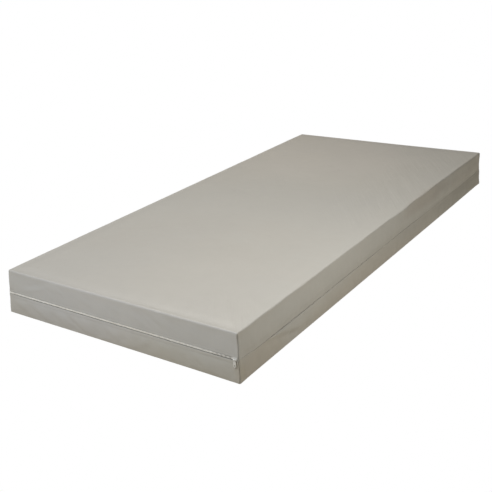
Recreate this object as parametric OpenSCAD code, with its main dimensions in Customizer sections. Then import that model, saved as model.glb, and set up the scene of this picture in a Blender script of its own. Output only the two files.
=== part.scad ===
// Pressure relief mattress: layered foam core in a wipe-clean two-part cover.
// Upper and lower cover halves meet near mid height. A coil zip joins them round the
// foot end, the left side and the head end; a sewn seam, a little lower than the zip,
// joins them along the right side, so the upper half opens like a lid about that seam.
// Frame: origin on the floor under the middle of the mattress, +Z up, +Y to the head end,
// +X to the sewn long side, foot end (zip closed end) at -Y.

/* [Mattress] */
// overall width across the mattress, mm
body_w = 900; // [800:10:1200]
// overall length from foot end to head end, mm
body_l = 2000; // [1800:10:2200]
// overall thickness, mm
body_h = 140; // [130:5:200]
// radius of the four upright corners, mm
corner_r = 6; // [5:0.5:8]
// radius of the top edge at the foot end and the head end, mm
end_edge_r = 8; // [6:1:14]
// radius of the top edge along the two long sides, mm
long_edge_r = 5; // [4:0.5:8]
// radius of the bottom edges, mm
bottom_edge_r = 5; // [4:0.5:6]
// thickness of the cover fabric with its knitted backing, mm
cover_t = 1.2; // [1:0.1:1.3]

/* [Foam core] */
// thickness of the viscoelastic comfort layer, mm
comfort_t = 50; // [30:5:60]
// width of each firm side rail, mm
rail_w = 70; // [50:5:100]
// blocks cut along the length of the support foam
cell_rows = 14; // [6:1:18]
// blocks cut across the width of the support foam
cell_cols = 6; // [3:1:8]
// width of the cuts between the blocks, mm
cut_w = 5; // [3:1:8]
// depth of the cuts between the blocks, mm
cut_depth = 35; // [20:5:45]

/* [Zip] */
// how far the zip runs below half thickness, mm
zip_low = 3; // [0:0.5:5]
// height of one coil row, half the width of the closed chain, mm
coil_h = 2.55; // [2.3:0.05:2.6]
// width of each zip tape, mm
tape_w = 13; // [10:1:16]
// length of the slider, mm
slider_l = 12.5; // [12.5:0.5:14]
// distance of the parked slider's middle from the outer face of the right side, mm
slider_in = 13; // [13:0.5:18]
// length of the pull tab below its pin, mm
tab_l = 21; // [18:1:34]
// width of the pull tab, mm
tab_w = 9.2; // [8:0.2:10.4]
// radius of the hole in the pull tab, mm
tab_hole_r = 2.1; // [1.5:0.1:2.2]
// radius of the slider's bridge bar, the pull tab's pin, mm
pin_r = 0.8; // [0.7:0.05:0.8]
// radial clearance of the pull tab on its pin, mm
pin_clear = 0.05; // [0.03:0.01:0.1]

/* [Seams] */
// how far the right side seam runs below the zip's height, mm
seam_drop = 6; // [2:0.5:8]
// length over which the right side seam rises to the zip's height at each corner, mm
seam_rise_l = 90; // [60:5:150]
// radius of the sewn cord along the right side, mm
side_cord_r = 0.7; // [0.5:0.05:0.7]
// radius of the sewn cords in the upright corners, mm
corner_cord_r = 0.55; // [0.4:0.05:0.55]

/* [Hidden] */

over = 1;     // how far cutting shapes run past what they cut
arc_steps = 8;

// cover
mid = body_h / 2 - zip_low;   // height of the zip
side_z = mid - seam_drop;     // height of the side seam, the line the cover opens about
cover_x = body_w / 2 - 0.8;   // outer faces of the cover, clear of seam cord and slider
cover_y = body_l / 2 - 0.8;
cord_x = cover_x - corner_r + corner_r * cos(45);  // upright corner lines
cord_y = cover_y - corner_r + corner_r * sin(45);
cord_clear = 0.2;             // room round the cords in the upright corners
half_gap = 0.3;               // each cover half stops this far from the meeting line
hem_t = cover_t + 0.5;        // doubled fabric behind the zip edge
hem_h = 12;
gap_z = 4.9;                  // half height of the opening in the cover that shows the zip
zip_end = cover_x - 3.2;      // that opening ends just before the right corners
upper_reach = 20;             // cutters of the upper cover start this far below the zip
lower_reach = 10;             // cutters of the lower cover end this far above the zip

// foam
foam_x = cover_x - 5.2;       // the opened cover has to clear the foam at the long sides
foam_y = cover_y - 4.8;
foam_slack = 0.4;             // gap between foam and cover, and under the comfort layer
foam_bottom = cover_t + foam_slack;
foam_top = body_h - cover_t - foam_slack;
foam_split = foam_top - comfort_t;
foam_corner_r = 15;
comfort_edge_r = 12;
rail_gap = 0.3;

// zip
tape_t = 0.6;
zip_slip = 0.1;               // small clearance between hem, tape and coil
tape_in = hem_t + zip_slip;   // tape lies just inside the hem
tape_back = tape_in + tape_t; // inner face of the tape
tape_gap = 1.4;               // half distance between the two tape edges
coil_out = 0.4;               // how far the coil stands out past the cover face
coil_gap = 0.05;              // half distance between the two coil rows
coil_step = 0.5;              // how much lower the front part of a coil row is
coil_front_in = 0.3;          // depth of that front part behind the cover face
slider_x = body_w / 2 - slider_in;
chain_end = slider_x + 2.7;   // coils end where the slider's wedge begins
stop_x = slider_x + slider_l / 2 + 0.3;
stop_l = 1.2;
stop_z = 0.25;                // stop's distance from the zip's height
retainer_x = chain_end + 0.8;
retainer_l = 2.6;

// slider, depths measured inwards from the cover face, heights from the zip
plate_y = -(coil_out + 0.4);  // inner face of the outer plate
plate_t = 1.2;
bar_y = plate_y - plate_t - 1.9;  // pin axis in front of the cover face
back_half = 4;                // half height of the slider's back part
front_half = 4.6;             // half height of its front part
flare_x = [1, 3.2];           // where it widens from the one to the other
flange_t = 1;
post_x = 2.9;                 // inner face of each bridge post from the slider's middle
post_l = 1.5;
post_w = 1.7;
bar_l = 7;

// pull tab, heights from the pin axis
eye_l = 5.4;                  // length of the rolled eye along the pin
eye_r = 1.65;
neck_z = -3.2;                // the tab widens from here
shoulder_z = -6.5;            // to its full width here

// points on an arc of radius r about (x, y), or just (x, y) where there is no radius
function arc(x, y, r, from, to, steps = arc_steps) =
    r > 0.05
        ? [for (i = [0:steps]) let (a = from + (to - from) * i / steps)
            [x + r * cos(a), y + r * sin(a)]]
        : [[x, y]];

// closed outline from (-half, z0) to (half, z1) with its own bottom and top corner radii
function outline(half, z0, z1, low_r, top_r) =
    concat(arc(half - low_r, z0 + low_r, low_r, -90, 0),
           arc(half - top_r, z1 - top_r, top_r, 0, 90),
           arc(-half + top_r, z1 - top_r, top_r, 90, 180),
           arc(-half + low_r, z0 + low_r, low_r, 180, 270));

// points followed by their mirror images above z = 0, in reverse order
function mirrored(points) =
    concat(points, [for (i = [len(points) - 1:-1:0]) [points[i][0], -points[i][1]]]);

// block with rounded upright corners and its own radii on long, end and bottom edges
module soft_block(half_x, half_y, z0, z1, plan_r, long_r = 0, end_r = 0, low_r = 0) {
    intersection() {
        translate([0, 0, z0 - over]) linear_extrude(z1 - z0 + 2 * over)
            polygon(outline(half_x, -half_y, half_y, plan_r, plan_r));
        rotate([90, 0, 0]) linear_extrude(2 * half_y + 2 * over, center = true)
            polygon(outline(half_x, z0, z1, low_r, long_r));
        rotate([90, 0, 90]) linear_extrude(2 * half_x + 2 * over, center = true)
            polygon(outline(half_y, z0, z1, low_r, end_r));
    }
}

// soft block whose faces and edges lie a distance inside the cover's
module inset_block(inset, z0, z1, long_r = inset_zero(), end_r = 0, low_r = 0)
    soft_block(cover_x - inset, cover_y - inset, z0, z1, corner_r - inset, long_r, end_r, low_r);

function inset_zero() = 0;

// plan of the cover moved in by a distance
module cover_plan(inset)
    polygon(outline(cover_x - inset, -(cover_y - inset), cover_y - inset,
                    corner_r - inset, corner_r - inset));

// upright ring between two insets from the cover face, cut off past end_x;
// near and far are heights from the zip, upwards for side 1 and downwards for side -1
module zip_ring(side, outer, inner, near, far, end_x) {
    z0 = mid + min(side * near, side * far);
    height = far - near;
    difference() {
        translate([0, 0, z0]) linear_extrude(height) cover_plan(outer);
        translate([0, 0, z0 - over]) linear_extrude(height + 2 * over) cover_plan(inner);
        translate([end_x, -body_l, z0 - over]) cube([body_w, 2 * body_l, height + 2 * over]);
    }
}

// space at the right side above (side 1) or below (side -1) the line where the cover
// halves meet, reaching half_gap past that line
module seam_space(side) {
    far = side * body_h;
    zip_z = mid - side * half_gap;
    seam_z = side_z - side * half_gap;
    corner_y = cover_y - corner_r;
    rise_y = cover_y - seam_rise_l;
    translate([zip_end - 0.01, 0, 0]) rotate([90, 0, 90]) linear_extrude(20)
        polygon([[-body_l, far], [-body_l, zip_z], [-corner_y, zip_z], [-rise_y, seam_z],
                 [rise_y, seam_z], [corner_y, zip_z], [body_l, zip_z], [body_l, far]]);
}

// opening for the zip, all round but for the right side
module zip_opening(z0, height)
    translate([-body_w, -body_l, z0]) cube([body_w + zip_end, 2 * body_l, height]);

// upright rods in the four corners; the two on the left are shortened below or above
module corner_rods(radius, z0, z1, left_below = 0, left_above = 0)
    for (x_side = [-1, 1], y_side = [-1, 1]) {
        start = z0 + (x_side < 0 ? left_below : 0);
        end = z1 - (x_side < 0 ? left_above : 0);
        translate([x_side * cord_x, y_side * cord_y, start])
            cylinder(r = radius, h = end - start, $fn = 24);
    }

// upper half of the cover: top sheet folded down to mid height, with a doubled hem
module upper_cover() color([0.74, 0.72, 0.69]) difference() {
    hem_top = mid + gap_z + hem_h;
    soft_block(cover_x, cover_y, side_z + half_gap, body_h, corner_r, long_edge_r, end_edge_r);
    seam_space(-1);
    inset_block(hem_t, mid - upper_reach, hem_top + over);
    inset_block(cover_t, hem_top, body_h - cover_t,
                long_r = long_edge_r - cover_t, end_r = end_edge_r - cover_t);
    zip_opening(mid - upper_reach, upper_reach + gap_z);
    corner_rods(corner_cord_r + cord_clear, mid - 1, body_h - end_edge_r);
}

// lower half of the cover: base sheet folded up to mid height, with a doubled hem
module lower_cover() color([0.66, 0.64, 0.6]) difference() {
    hem_bottom = mid - gap_z - hem_h;
    soft_block(cover_x, cover_y, 0, mid - half_gap, corner_r, low_r = bottom_edge_r);
    seam_space(1);
    inset_block(hem_t, hem_bottom - over, mid + lower_reach);
    inset_block(cover_t, cover_t, hem_bottom, low_r = bottom_edge_r - cover_t);
    zip_opening(mid - gap_z, lower_reach + gap_z);
    corner_rods(corner_cord_r + cord_clear, bottom_edge_r + 1, bottom_edge_r + 1 + mid);
}

// sewn cords in the upright corners of the upper cover
module upper_corner_seams() color([0.35, 0.34, 0.31])
    corner_rods(corner_cord_r, mid + 1, body_h - end_edge_r - 1, left_below = gap_z);

// sewn cords in the upright corners of the lower cover
module lower_corner_seams() color([0.35, 0.34, 0.31])
    corner_rods(corner_cord_r, bottom_edge_r + 2, mid - 1, left_above = gap_z);

// sewn cord that joins the two cover halves along the right side; the cover opens about it
module side_seam() color([0.4, 0.38, 0.35]) {
    straight = cover_y - seam_rise_l;
    translate([body_w / 2, 0, side_z]) rotate([90, 0, 0])
        cylinder(r = side_cord_r, h = 2 * straight - 1, center = true, $fn = 32);
    // the two ends rise towards the height of the zip, just under the upper half's edge
    rise = atan2(seam_drop, seam_rise_l - corner_r);
    for (side = [-1, 1])
        translate([body_w / 2, side * (straight + 0.5), side_z - 0.45])
            rotate([side * (rise - 90), 0, 0])
                cylinder(r = side_cord_r, h = seam_rise_l - 8, $fn = 32);
}

module tape(side)
    zip_ring(side, tape_in, tape_back, tape_gap, tape_gap + tape_w, zip_end - 1);

module upper_tape() color([0.8, 0.78, 0.72]) tape(1);

module lower_tape() color([0.8, 0.78, 0.72]) tape(-1);

// coil row; its outer corner is stepped back so the row is narrower in front
module coil(side) union() {
    zip_ring(side, zip_slip, tape_in - zip_slip, coil_gap, coil_h, chain_end);
    zip_ring(side, -coil_out, coil_front_in, coil_gap, coil_h - coil_step, chain_end);
}

module upper_coil() color([0.9, 0.87, 0.8]) coil(1);

module lower_coil() color([0.9, 0.87, 0.8]) coil(-1);

// crimped stop round the upper tape's edge at the foot end, with the zip at z = 0
module stop_clip()
    // outer jaw, inner jaw, web: [y from the tape's outer face, depth, height]
    for (part = [[-1.8, 1.7, 3.3], [tape_t + 0.45, 1, 3.3], [-1, 2.4, 1]])
        translate([stop_x, tape_in - cover_y + part[0], stop_z])
            cube([stop_l, part[1], part[2]]);

module upper_stop() color([0.75, 0.75, 0.74]) translate([0, 0, mid]) stop_clip();

module lower_stop() color([0.75, 0.75, 0.74])
    translate([0, 0, mid]) mirror([0, 0, 1]) stop_clip();

// retainer that holds both tape edges together at the far end of the zip, at the head end
module end_retainer() color([0.75, 0.75, 0.74])
    // outer jaw, inner jaw, web: [y from the tape's outer face, depth, height]
    for (part = [[0.1, 2, 6], [-tape_t - 1.1, 1, 6], [-tape_t - 0.6, 1.6, 2.2]])
        translate([retainer_x, cover_y - tape_in + part[0], mid - part[2] / 2])
            cube([retainer_l, part[1], part[2]]);

// viscoelastic layer under the sleeping surface
module comfort_foam() color([0.93, 0.9, 0.8])
    soft_block(foam_x, foam_y, foam_split + foam_slack, foam_top, foam_corner_r,
               comfort_edge_r, comfort_edge_r);

// support foam between the rails, its upper face cut into blocks
module support_foam() color([0.78, 0.85, 0.86]) difference() {
    half_x = foam_x - rail_w - rail_gap;
    pitch_y = 2 * foam_y / cell_rows;
    pitch_x = 2 * half_x / cell_cols;
    cut_z = foam_split - cut_depth;
    translate([-half_x, -foam_y, foam_bottom])
        cube([2 * half_x, 2 * foam_y, foam_split - foam_bottom]);
    for (i = [1:cell_rows - 1])
        translate([-half_x - over, -foam_y + i * pitch_y - cut_w / 2, cut_z])
            cube([2 * (half_x + over), cut_w, cut_depth + over]);
    for (j = [1:cell_cols - 1])
        translate([-half_x + j * pitch_x - cut_w / 2, -foam_y - over, cut_z])
            cube([cut_w, 2 * (foam_y + over), cut_depth + over]);
}

// firm rail along one long side of the support foam
module rail(side) intersection() {
    soft_block(foam_x, foam_y, foam_bottom, foam_split, foam_corner_r);
    translate([side > 0 ? foam_x - rail_w : -foam_x - over, -foam_y - over, foam_bottom - over])
        cube([rail_w + over, 2 * (foam_y + over), foam_split - foam_bottom + 2 * over]);
}

module rail_left() color([0.6, 0.66, 0.72]) rail(-1);

module rail_right() color([0.6, 0.66, 0.72]) rail(1);

// slider outline in x and z, edges moved in by inset, higher at its front (+X) end
function slider_outline(inset) =
    let (end_x = slider_l / 2 - inset * 0.3)
    mirrored([[-end_x, -3.3 + inset], [-end_x + 1, -back_half + inset],
              [flare_x[0], -back_half + inset], [flare_x[1], -front_half + inset],
              [end_x - 1.6, -front_half + inset], [end_x, -3.4 + inset]]);

// plate standing upright between two depths, from an outline in x and z
module slab(y0, y1) translate([0, y1, 0]) rotate([90, 0, 0]) linear_extrude(y1 - y0) children();

// round bar along +X from the origin
module x_bar(radius, length) rotate([0, 90, 0]) cylinder(r = radius, h = length);

// zip slider: outer plate with flanges, inner plate, wedge between the tapes, bridge bar
module slider_body() color([0.82, 0.82, 0.8]) translate([slider_x, -cover_y, mid]) {
    slab(plate_y - 0.9, plate_y) polygon(slider_outline(0));
    slab(plate_y - plate_t, plate_y - 0.8) polygon(slider_outline(0.45));
    // flanges reach over the coil and stop short of the tape
    slab(plate_y - 0.1, tape_in - 0.2) difference() {
        polygon(slider_outline(0));
        polygon(mirrored([[-slider_l, flange_t - back_half],
                          [flare_x[0], flange_t - back_half],
                          [flare_x[1], flange_t - front_half],
                          [slider_l, flange_t - front_half]]));
    }
    slab(tape_back + 0.3, tape_back + 1.4) polygon(slider_outline(0));
    // wedge that parts the two coils
    slab(plate_y - 0.1, tape_back + 0.5)
        polygon([[2.9, 0], [4.2, -1.15], [6.2, -1.15], [6.2, 1.15], [4.2, 1.15]]);
    // bridge: two round-headed posts and the bar the pull tab hangs on
    for (x = [-post_x - post_l, post_x]) translate([x, bar_y, 0]) {
        translate([0, 0, -post_w / 2]) cube([post_l, plate_y - 0.6 - bar_y, post_w]);
        x_bar(1, post_l, $fn = 48);
    }
    translate([-bar_l / 2, bar_y, 0]) x_bar(pin_r, bar_l, $fn = 48);
}

// front outline of the pull tab, edges moved in by inset; z = 0 is the pin axis
function tab_outline(inset) =
    let (eye_x = eye_l / 2 - inset, side_x = tab_w / 2 - inset, top = -0.6 - inset)
    concat([[eye_x, top], [-eye_x, top], [-eye_x, neck_z], [-side_x, shoulder_z]],
           arc(0, -tab_l + tab_w / 2, side_x, 180, 360, 24),
           [[side_x, shoulder_z], [eye_x, neck_z]]);

// pull tab: flat tongue with a rolled eye round the bridge bar and a hole near its lower end
module pull_tab() color([0.85, 0.84, 0.8])
    translate([slider_x, -cover_y + bar_y, mid]) difference() {
        union() {
            slab(-0.4, 0.4) polygon(tab_outline(0));
            slab(-0.6, 0.6) polygon(tab_outline(0.25));
            translate([-eye_l / 2, 0, 0]) x_bar(eye_r, eye_l, $fn = 64);
        }
        translate([-eye_l, 0, 0]) x_bar(pin_r + pin_clear, 2 * eye_l, $fn = 64);
        translate([0, 5, -tab_l + tab_w / 2]) rotate([90, 0, 0])
            cylinder(r = tab_hole_r, h = 10, $fn = 48);
    }

upper_cover();
upper_corner_seams();
upper_tape();
upper_coil();
upper_stop();
lower_cover();
lower_corner_seams();
side_seam();
lower_tape();
lower_coil();
lower_stop();
end_retainer();
comfort_foam();
support_foam();
rail_left();
rail_right();
slider_body();
pull_tab();
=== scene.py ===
import bpy
import math
import numpy as np
from mathutils import Vector, Matrix
from mathutils.bvhtree import BVHTree


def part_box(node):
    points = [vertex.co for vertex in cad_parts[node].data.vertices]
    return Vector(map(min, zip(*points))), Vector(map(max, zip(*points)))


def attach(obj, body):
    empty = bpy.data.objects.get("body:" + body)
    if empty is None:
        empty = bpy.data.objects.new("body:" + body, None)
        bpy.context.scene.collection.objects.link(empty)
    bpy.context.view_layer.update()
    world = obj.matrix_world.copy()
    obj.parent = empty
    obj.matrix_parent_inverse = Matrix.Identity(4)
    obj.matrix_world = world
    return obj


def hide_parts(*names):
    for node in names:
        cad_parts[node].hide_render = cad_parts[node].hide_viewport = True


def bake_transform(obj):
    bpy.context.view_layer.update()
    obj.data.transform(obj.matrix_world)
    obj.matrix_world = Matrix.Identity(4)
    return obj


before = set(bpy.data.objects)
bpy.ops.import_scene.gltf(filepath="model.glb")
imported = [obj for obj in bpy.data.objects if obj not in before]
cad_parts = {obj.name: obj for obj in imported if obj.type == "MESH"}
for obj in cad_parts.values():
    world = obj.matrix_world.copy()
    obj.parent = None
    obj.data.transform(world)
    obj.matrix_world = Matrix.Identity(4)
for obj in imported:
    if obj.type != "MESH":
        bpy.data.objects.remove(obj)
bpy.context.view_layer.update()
scene = bpy.context.scene
RNG = np.random.default_rng(7)

# ---------------------------------------------------------------- sizes read from the frame
_u_lo, _u_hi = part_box("upper_cover")
_c_lo, _c_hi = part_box("upper_coil")
_s_lo, _s_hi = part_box("slider_body")
WX, WY, H = _u_hi.x, _u_hi.y, _u_hi.z
SIDE_Z = _u_lo.z - 0.0003
MID = _c_lo.z - 0.00005
COIL_H = _c_hi.z - MID
CHAIN_END = _c_hi.x
ZIP_END = WX - 0.0032
GAP_UP, GAP_LOW = 0.0032, 0.0047
CORNER_R = 0.006
RISE_L = 0.090
COVER_T = 0.0012


def smooth(t):
    t = np.clip(t, 0.0, 1.0)
    return t * t * (3 - 2 * t)


def bell(t, c, w):
    return np.exp(-(((t - c) / w) ** 2))


# ---------------------------------------------------------------- material helpers
def new_mat(name):
    m = bpy.data.materials.new(name)
    m.use_nodes = True
    nt = m.node_tree
    nt.nodes.clear()
    out = nt.nodes.new("ShaderNodeOutputMaterial")
    bsdf = nt.nodes.new("ShaderNodeBsdfPrincipled")
    nt.links.new(bsdf.outputs["BSDF"], out.inputs["Surface"])
    tc = nt.nodes.new("ShaderNodeTexCoord")
    return m, nt, bsdf, tc.outputs["Object"]


def node(nt, kind, **sets):
    n = nt.nodes.new(kind)
    for k, v in sets.items():
        if k.startswith("in_"):
            n.inputs[k[3:].replace("_", " ")].default_value = v
        else:
            setattr(n, k, v)
    return n


def noise(nt, vec, scale, detail=3.0, rough=0.5):
    n = node(nt, "ShaderNodeTexNoise", in_Scale=scale, in_Detail=detail, in_Roughness=rough)
    nt.links.new(vec, n.inputs["Vector"])
    return n.outputs["Fac"]


def math_node(nt, op, a, b=None, c=None, clamp=False):
    n = node(nt, "ShaderNodeMath", operation=op)
    n.use_clamp = clamp
    for i, v in enumerate((a, b, c)):
        if v is None:
            continue
        if hasattr(v, "links"):
            nt.links.new(v, n.inputs[i])
        else:
            n.inputs[i].default_value = v
    return n.outputs[0]


def ramp(nt, fac, lo, hi, a=0.0, b=1.0):
    n = node(nt, "ShaderNodeMapRange")
    nt.links.new(fac, n.inputs["Value"])
    n.inputs["From Min"].default_value = lo
    n.inputs["From Max"].default_value = hi
    n.inputs["To Min"].default_value = a
    n.inputs["To Max"].default_value = b
    return n.outputs["Result"]


def mix_col(nt, fac, a, b, blend="MIX"):
    n = node(nt, "ShaderNodeMix", data_type="RGBA", blend_type=blend)
    if hasattr(fac, "links"):
        nt.links.new(fac, n.inputs[0])
    else:
        n.inputs[0].default_value = fac
    for sock, v in ((n.inputs[6], a), (n.inputs[7], b)):
        if hasattr(v, "links"):
            nt.links.new(v, sock)
        else:
            sock.default_value = (v[0], v[1], v[2], 1.0)
    return n.outputs[2]


def bump(nt, height, strength, dist, prev=None):
    n = node(nt, "ShaderNodeBump", in_Strength=strength, in_Distance=dist)
    nt.links.new(height, n.inputs["Height"])
    if prev is not None:
        nt.links.new(prev, n.inputs["Normal"])
    return n.outputs["Normal"]


def weave(nt, vec, period):
    """Knit or weave height that works on every face: bands along all three axes added together."""
    s = 0.31416 / period
    total = None
    for d in ("X", "Y", "Z"):
        w = node(nt, "ShaderNodeTexWave", wave_type="BANDS", bands_direction=d, wave_profile="SIN",
                 in_Scale=s, in_Distortion=0.0)
        nt.links.new(vec, w.inputs["Vector"])
        total = w.outputs["Fac"] if total is None else math_node(nt, "ADD", total, w.outputs["Fac"])
    return math_node(nt, "MULTIPLY", total, 0.333)


def pointy(nt):
    return node(nt, "ShaderNodeNewGeometry").outputs["Pointiness"]


def light_shade_patch(nt, vec, c, centre, radius, tint, amount):
    """Soft-edged area whose colour is multiplied by a tint: painted shade where the tint is below one, painted light
    where it is above.
    """
    mp = node(nt, "ShaderNodeMapping")
    mp.inputs["Location"].default_value = [-a / r for a, r in zip(centre, radius)]
    mp.inputs["Scale"].default_value = [1.0 / r for r in radius]
    nt.links.new(vec, mp.inputs["Vector"])
    ln = node(nt, "ShaderNodeVectorMath", operation="LENGTH")
    nt.links.new(mp.outputs["Vector"], ln.inputs[0])
    d = math_node(nt, "ADD", ln.outputs["Value"], ramp(nt, noise(nt, vec, 9.0, 3.0), 0.3, 0.7, -0.12, 0.12))
    return mix_col(nt, ramp(nt, d, 0.55, 1.05, amount, 0.0), c, mix_col(nt, 1.0, c, tint, "MULTIPLY"))


def fabric_coated(name, col, warm, dark, light_shade_patches=(), streaks=False, weave_p=0.0009, rough=0.5):
    """Wipe-clean polyurethane coated knit: fine knit grain under a satin film."""
    m, nt, b, vec = new_mat(name)
    big = noise(nt, vec, 2.2, 2.0)
    mid = noise(nt, vec, 14.0, 4.0, 0.55)
    fine = noise(nt, vec, 900.0, 2.0)
    c = mix_col(nt, ramp(nt, big, 0.32, 0.68), col, warm)
    c = mix_col(nt, ramp(nt, mid, 0.30, 0.75, 0.0, 0.22), c, dark)
    wv = weave(nt, vec, weave_p)
    c = mix_col(nt, ramp(nt, wv, 0.25, 0.75, 0.10, 0.0), c, dark)
    # regional tints: painted light and painted shade
    for centre, radius, tint, amount in light_shade_patches:
        c = light_shade_patch(nt, vec, c, centre, radius, tint, amount)
    # handled edges are rubbed a little lighter; concave folds and seams are darkened by pointiness as painted shade
    p = pointy(nt)
    c = mix_col(nt, ramp(nt, p, 0.515, 0.60, 0.0, 0.20), c, [min(1, x * 1.10) for x in col])
    c = mix_col(nt, ramp(nt, p, 0.49, 0.42, 0.0, 0.45), c, [x * 0.55 for x in dark])
    nt.links.new(c, b.inputs["Base Color"])
    r = math_node(nt, "ADD", ramp(nt, mid, 0.3, 0.7, rough - 0.05, rough + 0.07), ramp(nt, fine, 0.3, 0.7, -0.03, 0.03))
    nt.links.new(r, b.inputs["Roughness"])
    b.inputs["Specular IOR Level"].default_value = 0.38
    b.inputs["Sheen Weight"].default_value = 0.12
    b.inputs["Sheen Roughness"].default_value = 0.45
    b.inputs["Sheen Tint"].default_value = (1.0, 0.98, 0.94, 1.0)
    n1 = bump(nt, wv, 0.22, 0.00018)
    n2 = bump(nt, fine, 0.16, 0.00015, n1)
    soft_f = noise(nt, vec, 45.0, 3.0, 0.5)
    n3 = bump(nt, soft_f, 0.10, 0.0012, n2)
    # faint slanted pull lines on the end panel
    turn = node(nt, "ShaderNodeMapping")
    turn.inputs["Rotation"].default_value = (0.0, -math.radians(27), 0.0)
    nt.links.new(vec, turn.inputs["Vector"])
    squash = node(nt, "ShaderNodeMapping")
    squash.inputs["Scale"].default_value = (6.0, 3.0, 52.0)
    nt.links.new(turn.outputs["Vector"], squash.inputs["Vector"])
    pulls = noise(nt, squash.outputs["Vector"], 1.0, 1.5, 0.45)
    sep = node(nt, "ShaderNodeSeparateXYZ")
    nt.links.new(vec, sep.inputs[0])
    pulls = math_node(nt, "MULTIPLY", pulls, ramp(nt, sep.outputs["Y"], -0.985, -0.993))
    n3 = bump(nt, pulls, 0.5, 0.0030, n3)
    if streaks:
        # fine slanted drag lines towards the right edge of the top sheet
        turn = node(nt, "ShaderNodeMapping")
        turn.inputs["Rotation"].default_value = (0.0, 0.0, -math.radians(124))
        nt.links.new(vec, turn.inputs["Vector"])
        squash = node(nt, "ShaderNodeMapping")
        squash.inputs["Scale"].default_value = (4.5, 58.0, 5.0)
        nt.links.new(turn.outputs["Vector"], squash.inputs["Vector"])
        lines = noise(nt, squash.outputs["Vector"], 1.0, 2.0, 0.5)
        sep = node(nt, "ShaderNodeSeparateXYZ")
        nt.links.new(vec, sep.inputs[0])
        ya = math_node(nt, "MAXIMUM", ramp(nt, sep.outputs["Y"], -0.30, 0.15), ramp(nt, sep.outputs["Y"], -0.78, -0.92))
        area_f = math_node(nt, "MULTIPLY", ramp(nt, sep.outputs["X"], 0.02, 0.38), ya)
        n3 = bump(nt, math_node(nt, "MULTIPLY", lines, area_f), 0.5, 0.0029, n3)
    nt.links.new(n3, b.inputs["Normal"])
    return m


def knit_backing(name, col, dark):
    """Uncoated inner face of the cover: soft looped knit."""
    m, nt, b, vec = new_mat(name)
    wv = weave(nt, vec, 0.0013)
    mid = noise(nt, vec, 9.0, 3.0)
    c = mix_col(nt, ramp(nt, wv, 0.2, 0.8), dark, col)
    c = mix_col(nt, ramp(nt, mid, 0.3, 0.75, 0.0, 0.25), c, dark)
    nt.links.new(c, b.inputs["Base Color"])
    b.inputs["Roughness"].default_value = 0.9
    b.inputs["Specular IOR Level"].default_value = 0.05
    b.inputs["Sheen Weight"].default_value = 0.05
    n1 = bump(nt, wv, 0.3, 0.0003)
    nt.links.new(bump(nt, noise(nt, vec, 700.0, 3.0), 0.2, 0.0003, n1), b.inputs["Normal"])
    return m


def thread_mat(name, col, rough=0.6):
    m, nt, b, vec = new_mat(name)
    w = node(nt, "ShaderNodeTexWave", wave_type="BANDS", bands_direction="DIAGONAL", in_Scale=450.0,
             in_Distortion=0.6)
    nt.links.new(vec, w.inputs["Vector"])
    c = mix_col(nt, ramp(nt, w.outputs["Fac"], 0.1, 0.9), [x * 0.6 for x in col], col)
    c = mix_col(nt, ramp(nt, noise(nt, vec, 60.0), 0.35, 0.7, 0.0, 0.3), c, [x * 0.75 for x in col])
    nt.links.new(c, b.inputs["Base Color"])
    b.inputs["Roughness"].default_value = rough
    b.inputs["Sheen Weight"].default_value = 0.2
    nt.links.new(bump(nt, w.outputs["Fac"], 0.5, 0.0002), b.inputs["Normal"])
    return m


def side_thread_shade_mat(name, dark, mid, pale):
    """Seam thread along the long side, darkened along its length as painted shade: darkest near the foot end, where the
    seam is sunk, and cover coloured at the head end.
    """
    m, nt, b, vec = new_mat(name)
    sep = node(nt, "ShaderNodeSeparateXYZ")
    nt.links.new(vec, sep.inputs[0])
    y = sep.outputs["Y"]
    # painted shade along the seam, strongest near the foot end
    c = mix_col(nt, ramp(nt, y, -0.92, -0.82), [(a + b) / 2 for a, b in zip(mid, pale)], dark)
    c = mix_col(nt, ramp(nt, y, -0.62, -0.48), c, mid)
    c = mix_col(nt, ramp(nt, y, -0.20, -0.12), c, pale)
    c = mix_col(nt, ramp(nt, math_node(nt, "ABSOLUTE", math_node(nt, "SUBTRACT", y, 0.14)), 0.08, 0.32, 0.95, 0.0), c, mid)
    c = mix_col(nt, ramp(nt, noise(nt, vec, 40.0), 0.35, 0.7, 0.0, 0.2), c, mid)
    nt.links.new(c, b.inputs["Base Color"])
    b.inputs["Roughness"].default_value = 0.7
    b.inputs["Sheen Weight"].default_value = 0.2
    w = node(nt, "ShaderNodeTexWave", wave_type="BANDS", bands_direction="DIAGONAL", in_Scale=450.0, in_Distortion=0.6)
    nt.links.new(vec, w.inputs["Vector"])
    nt.links.new(bump(nt, w.outputs["Fac"], 0.5, 0.0002), b.inputs["Normal"])
    return m


def tape_mat(name, col, dark):
    """Woven polyester zip tape with a fine twill."""
    m, nt, b, vec = new_mat(name)
    w = node(nt, "ShaderNodeTexWave", wave_type="BANDS", bands_direction="DIAGONAL", in_Scale=320.0,
             in_Distortion=0.4)
    nt.links.new(vec, w.inputs["Vector"])
    wv = weave(nt, vec, 0.0007)
    h = math_node(nt, "MULTIPLY", w.outputs["Fac"], wv)
    c = mix_col(nt, ramp(nt, h, 0.05, 0.5), dark, col)
    nt.links.new(c, b.inputs["Base Color"])
    nt.links.new(ramp(nt, h, 0.0, 0.6, 0.95, 0.75), b.inputs["Roughness"])
    b.inputs["Sheen Weight"].default_value = 0.25
    nt.links.new(bump(nt, h, 0.6, 0.0003), b.inputs["Normal"])
    return m


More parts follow.
